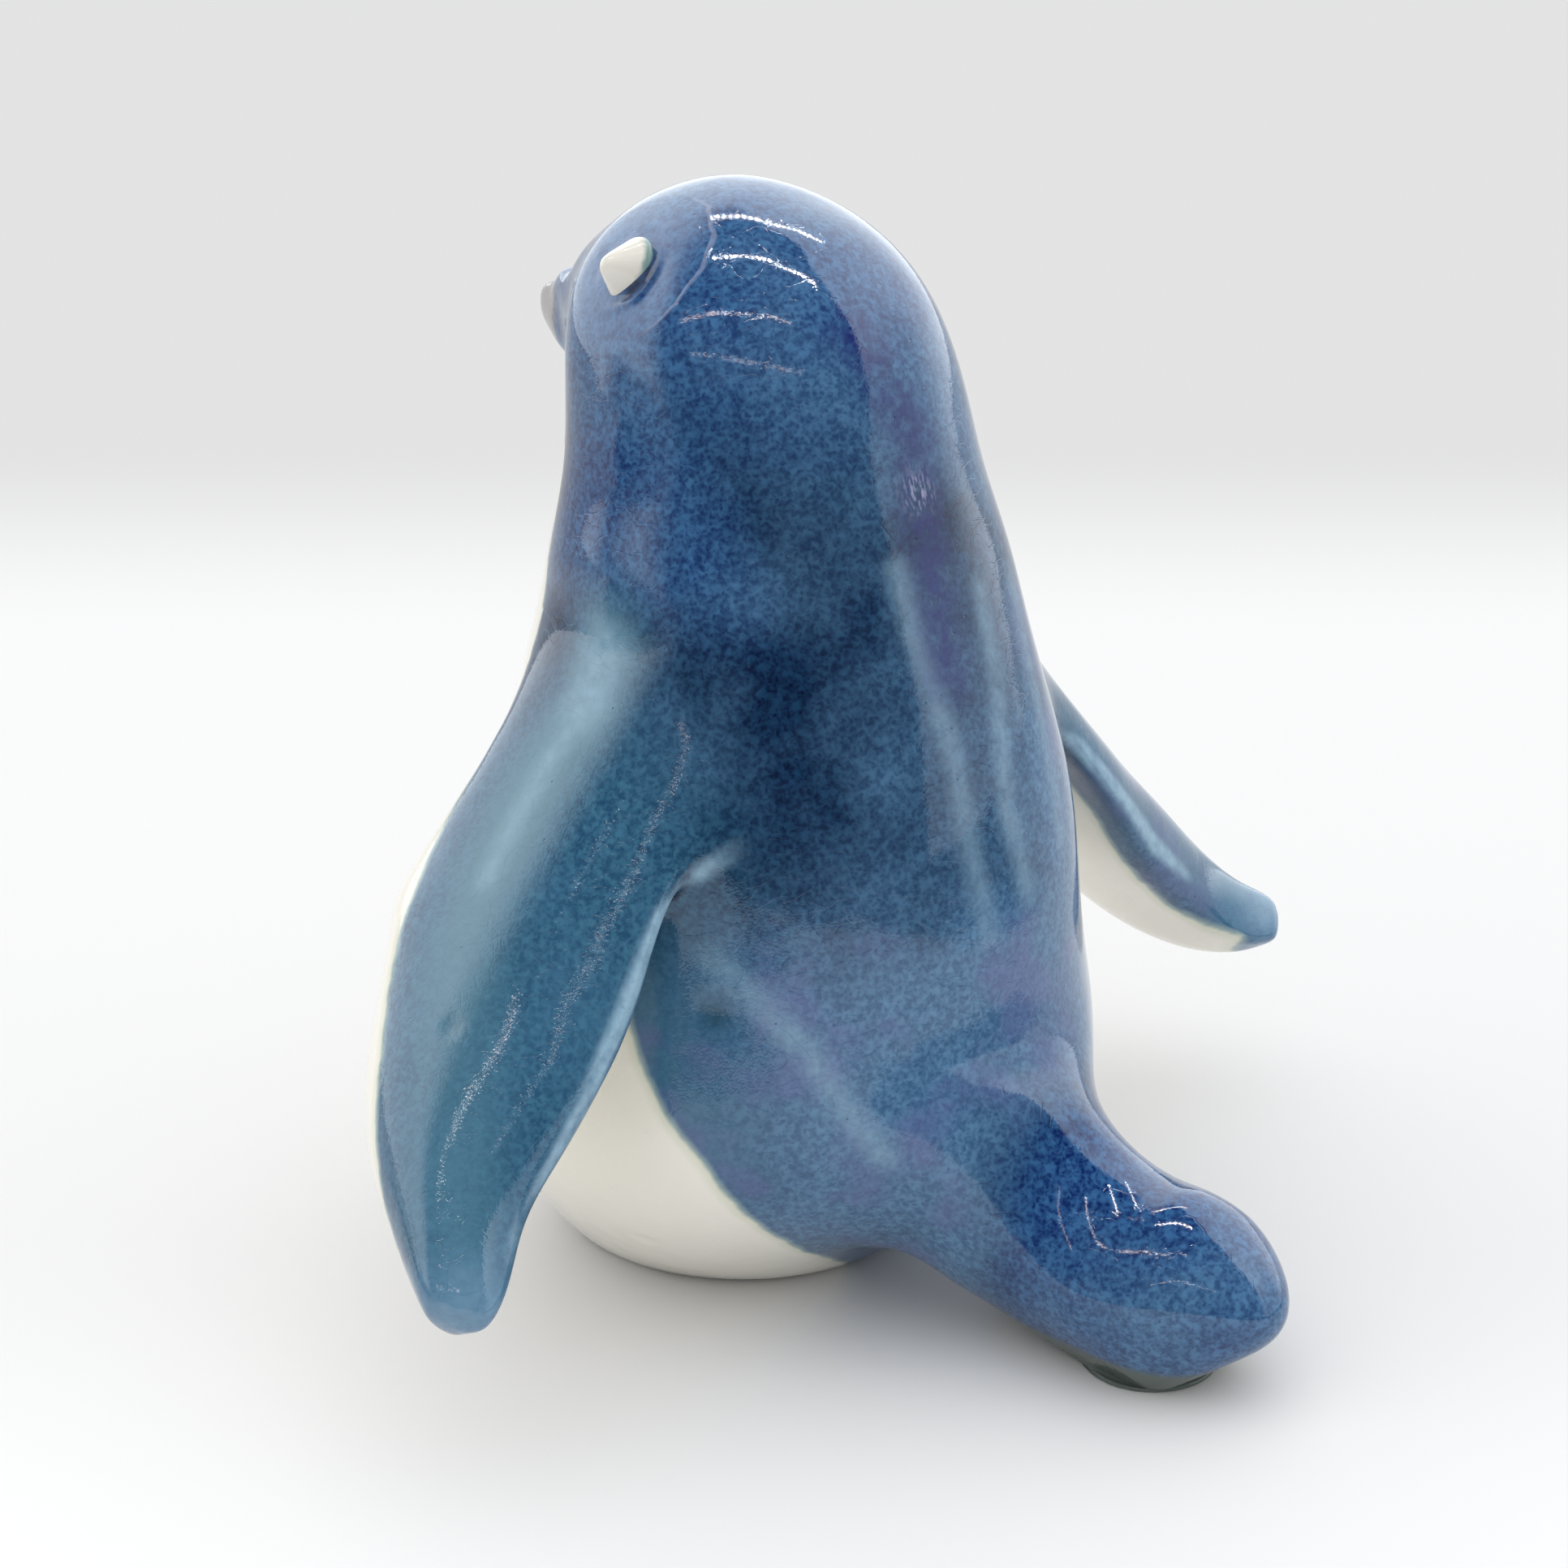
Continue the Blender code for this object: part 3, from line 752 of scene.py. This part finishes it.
    # cream breast with its pale green and yellow edge
    wobble = maths(tree, "MULTIPLY_ADD", noise(tree, place, 0.3, 2.0), 1.2, -0.6)
    cream = maths(tree, "ADD", field(tree, "cream"), wobble)
    colour = blended(tree, ramped(tree, cream, -1.3, 0.1), blue, colours["haloBlue"])
    colour = blended(tree, ramped(tree, cream, -0.3, 0.6), colour, colours["haloCream"])
    colour = blended(tree, ramped(tree, cream, 0.4, 2.2), colour, colours["cream"])
    # bare beak and foot
    beak = maths(tree, "ADD", field(tree, "beak"), maths(tree, "MULTIPLY_ADD", drift, 1.6, -0.8))
    colour = blended(tree, ramped(tree, beak, -0.5, 0.5), colour, colours["beak"])
    colour = blended(tree, ramped(tree, field(tree, "foot"), 0.25, 0.6), colour, colours["foot"])
    # relief
    peel = maths(tree, "MULTIPLY_ADD", field(tree, "rough"), mix["roughPeel"], 1.0)
    skin = useGroup(tree, surface, {"Vector": place, "Line": line, "Peel": peel})
    height = maths(tree, "MULTIPLY_ADD", rim, mix["rimHeight"], skin.outputs["Height"])
    relief = addNode(tree, "ShaderNodeBump", {"Height": height, "Distance": 0.001, "Strength": 1.0})
    isBlue = ramped(tree, cream, -0.5, 0.5, 1.0, 0.0)
    spots = maths(tree, "MULTIPLY", skin.outputs["Pinhole"], mix["pinholeShare"])
    colour = blended(tree, maths(tree, "MULTIPLY", spots, isBlue), colour, colours["line"])
    tree.links.new(colour, shader.inputs["Base Color"])
    tree.links.new(relief.outputs[0], shader.inputs["Normal"])
    shader.inputs["Roughness"].default_value = colours["roughness"]
    shader.inputs["IOR"].default_value = colours["ior"]
    return material


eyeColours = {
    "glaze": (0.78, 0.75, 0.68),
    "root": (0.22, 0.34, 0.33),
    "rootHeight": 1.1,      # mm over which the green edge fades
    "rootStart": -0.8,      # mm
    "rearLean": -0.32,      # how much higher the edge reaches at the rear
    "uneven": 1.2,          # mm
    "relief": 0.6,          # strength of the relief
}


def eyeGlaze():
    material, tree, shader, place = newMaterial("eye glaze")
    # height above the root, the same on both sides
    away = vectorMaths(tree, "SUBTRACT", place, (0, *eyeCentre[1:]))
    parts = addNode(tree, "ShaderNodeSeparateXYZ", {0: away}).outputs
    across = maths(tree, "SUBTRACT", maths(tree, "ABSOLUTE", parts["X"]), eyeCentre[0])
    rise = maths(tree, "MULTIPLY", across, eyeOut[0])
    rise = maths(tree, "MULTIPLY_ADD", parts["Z"], eyeOut[2], rise)
    rise = maths(tree, "MULTIPLY_ADD", parts["Y"], eyeColours["rearLean"], rise)
    rise = maths(tree, "MULTIPLY_ADD", noise(tree, place, 0.7, 2.0), eyeColours["uneven"], rise)
    start = eyeColours["rootStart"]
    share = ramped(tree, rise, start, start + eyeColours["rootHeight"])
    colour = blended(tree, share, eyeColours["root"], eyeColours["glaze"])
    tree.links.new(colour, shader.inputs["Base Color"])
    height = useGroup(tree, surface, {"Vector": place}).outputs["Height"]
    wires = {"Height": height, "Distance": 0.001, "Strength": eyeColours["relief"]}
    relief = addNode(tree, "ShaderNodeBump", wires)
    tree.links.new(relief.outputs[0], shader.inputs["Normal"])
    shader.inputs["Roughness"].default_value = glazeColours["roughness"]
    shader.inputs["IOR"].default_value = glazeColours["ior"]
    return material


penguin = buildFigurine()
penguin.data.materials.append(blueGlaze())
eyeMaterial = eyeGlaze()
for side in (1, -1):
    buildEye(side).data.materials.append(eyeMaterial)
print("figurine done")


# Floor, which runs into a slightly greyer background: the greying far behind the figurine is painted shade,
# and the brighter paper just before it is painted light

floorLook = {
    "size": 6.0,
    "near": (0.735, 0.732, 0.732),
    # painted shade: darker paper far behind the figurine
    "far": (0.590, 0.586, 0.582),
    # painted light: brighter paper just before the figurine
    "front": (0.800, 0.796, 0.796),
    "fadeStart": 0.26,      # behind the figurine
    "fadeEnd": 0.44,
    "frontStart": 0.010,    # before it
    "frontEnd": 0.090,
    "brightReach": 0.43,    # of white board towards the camera, as the glaze mirrors it
    "brightWidth": 0.20,
    "beyond": (0.05, 0.055, 0.06),
}


def buildFloor():
    work = bmesh.new()
    bmesh.ops.create_grid(work, x_segments=1, y_segments=1, size=floorLook["size"])
    mesh = bpy.data.meshes.new("floor")
    work.to_mesh(mesh)
    work.free()
    floor = bpy.data.objects.new("floor", mesh)
    bpy.context.scene.collection.objects.link(floor)
    material, tree, shader, place = newMaterial("floor paper")
    toward, right = alongAxis(tree, place, flatToward), alongAxis(tree, place, flatRight)
    # painted shade far behind the figurine, and painted light just before it
    farShade = ramped(tree, toward, -floorLook["fadeStart"] * 1000, -floorLook["fadeEnd"] * 1000)
    paper = blended(tree, farShade, floorLook["near"], floorLook["far"])
    front = ramped(tree, toward, floorLook["frontStart"] * 1000, floorLook["frontEnd"] * 1000)
    paper = blended(tree, front, paper, floorLook["front"])
    # the room beyond the board shows only where the glaze mirrors it
    ahead = maths(tree, "DIVIDE", toward, floorLook["brightReach"] * 1000)
    aside = maths(tree, "DIVIDE", right, floorLook["brightWidth"] * 1000)
    reach = maths(tree, "ADD", maths(tree, "POWER", ahead, 2.0), maths(tree, "POWER", aside, 2.0))
    outside = maths(tree, "MULTIPLY", ramped(tree, reach, 0.97, 1.05), ramped(tree, toward, -60.0, 20.0))
    mirrored = tree.nodes.new("ShaderNodeLightPath").outputs["Is Glossy Ray"]
    paper = blended(tree, maths(tree, "MULTIPLY", outside, mirrored), paper, floorLook["beyond"])
    tree.links.new(paper, shader.inputs["Base Color"])
    shader.inputs["Roughness"].default_value = 0.9
    shader.inputs["Specular IOR Level"].default_value = 0.0
    mesh.materials.append(material)


buildFloor()

# Light tent: white all round, open and dark towards the camera, with thin strips overhead

tent = {
    "wallRight": (1.10, 1.20, 1.34),
    "wallLeft": (2.10, 2.18, 2.25),
    "roof": (2.50, 2.60, 2.70),
    "opening": (0.03, 0.035, 0.045),
    "evenLow": (0.25, 0.26, 0.27),      # light on matt surfaces from low on the camera's side
    "evenHigh": (1.68, 1.69, 1.70),     # from overhead
    "evenRest": (1.29, 1.30, 1.31),     # and from all other sides
    "behind": (0.77, 0.765, 0.76),      # what the camera sees past the floor
    "openingSide": 1.35,        # half width of the opening by distance
    "openingOverhead": 0.62,    # how far it reaches past the zenith
    "sharpEdge": 0.02,          # its edge on the right
    "softEdge": 0.48,           # and how much softer it is on the left
    "lowShade": 0.85,           # darkness low on the left, beside the opening
    "stripHeight": 0.52,
    "stripWidth": 0.008,
    "dotStep": 0.017,           # from one bright dot of a strip to the next
    "dotBright": 2.3,           # brightness of the dots and of the gaps between them
    "dotDim": 0.15,
    # towards the camera, to the right, length, watts and colour of each strip
    "strips": ((-0.20, 0.07, 0.36, 0.40, (1, 1, 1)), (0.0, 0.08, 0.32, 0.40, (1, 1, 1)),
               (0.25, -0.07, 0.46, 0.20, (1, 0.90, 0.85)), (0.57, -0.05, 0.70, 0.24, (1, 0.90, 0.85))),
}


def buildWorld():
    world = bpy.data.worlds.new("tent")
    bpy.context.scene.world = world
    world.use_nodes = True
    tree = world.node_tree
    tree.nodes.clear()
    coords = tree.nodes.new("ShaderNodeTexCoord")
    ray = coords.outputs["Generated"]
    toward, right = alongAxis(tree, ray, flatToward), alongAxis(tree, ray, flatRight)
    up = addNode(tree, "ShaderNodeSeparateXYZ", {0: ray}).outputs["Z"]
    reach = maths(tree, "MULTIPLY_ADD", maths(tree, "MAXIMUM", up, 0.0), tent["openingOverhead"], toward)
    halfWidth = maths(tree, "MULTIPLY", reach, tent["openingSide"])
    gap = maths(tree, "SUBTRACT", halfWidth, maths(tree, "ABSOLUTE", right))
    isLeft = ramped(tree, right, 0.30, -0.40)
    soft = maths(tree, "MULTIPLY_ADD", isLeft, tent["softEdge"], tent["sharpEdge"])
    dark = ramped(tree, maths(tree, "DIVIDE", gap, soft), -1.1, 0.45)
    low = maths(tree, "MULTIPLY", ramped(tree, up, 0.20, 0.04), ramped(tree, toward, -0.30, -0.05))
    low = maths(tree, "MULTIPLY", low, maths(tree, "MULTIPLY", isLeft, tent["lowShade"]))
    dark = maths(tree, "MAXIMUM", dark, low)
    isRight = maths(tree, "MULTIPLY", ramped(tree, right, -0.1, 0.4), ramped(tree, toward, -0.6, -0.2))
    wall = blended(tree, isRight, tent["wallLeft"], tent["wallRight"])
    wall = blended(tree, ramped(tree, up, 0.3, 0.7), wall, tent["roof"])
    colour = blended(tree, dark, wall, tent["opening"])
    path = tree.nodes.new("ShaderNodeLightPath")
    even = blended(tree, maths(tree, "MAXIMUM", up, 0.0), tent["evenLow"], tent["evenHigh"])
    even = blended(tree, dark, tent["evenRest"], even)
    colour = blended(tree, path.outputs["Is Glossy Ray"], even, colour)
    colour = blended(tree, path.outputs["Is Camera Ray"], colour, tent["behind"])
    shade = addNode(tree, "ShaderNodeBackground", {"Color": colour, "Strength": 1.0})
    output = tree.nodes.new("ShaderNodeOutputWorld")
    tree.links.new(shade.outputs[0], output.inputs["Surface"])


def buildStrips():
    for index, (toward, right, length, power, colour) in enumerate(tent["strips"]):
        lamp = bpy.data.lights.new("strip %d" % (index + 1), "AREA")
        lamp.shape = "RECTANGLE"
        lamp.size, lamp.size_y = length, tent["stripWidth"]
        lamp.energy = power
        lamp.color = colour
        # a row of small bright dots
        lamp.use_nodes = True
        tree = lamp.node_tree
        across = tree.nodes.new("ShaderNodeNewGeometry").outputs["Parametric"]
        spot = addNode(tree, "ShaderNodeSeparateXYZ", {0: across})
        step = maths(tree, "FRACT", maths(tree, "MULTIPLY", spot.outputs["X"], length / tent["dotStep"]))
        away = maths(tree, "ABSOLUTE", maths(tree, "SUBTRACT", step, 0.5))
        lit = ramped(tree, away, 0.16, 0.26, tent["dotBright"], tent["dotDim"])
        tree.links.new(lit, tree.nodes["Emission"].inputs["Strength"])
        strip = bpy.data.objects.new(lamp.name, lamp)
        strip.location = flatToward * toward + flatRight * right + Vector((0, 0, tent["stripHeight"]))
        strip.rotation_euler.z = np.arctan2(flatRight.y, flatRight.x)
        strip.visible_diffuse = False
        bpy.context.scene.collection.objects.link(strip)


def buildCamera():
    lens = bpy.data.cameras.new("camera")
    lens.lens = lens.sensor_width / 2 / tan(radians(viewpoint["fieldOfView"] / 2))
    lens.clip_start = 0.01
    camera = bpy.data.objects.new("camera", lens)
    camera.location = Vector(viewpoint["target"]) + towardCamera() * viewpoint["distance"]
    camera.rotation_euler = (-towardCamera()).to_track_quat("-Z", "Y").to_euler()
    bpy.context.scene.collection.objects.link(camera)
    bpy.context.scene.camera = camera


buildWorld()
buildStrips()
buildCamera()
bpy.context.scene.view_settings.view_transform = "Standard"
print("stage done")
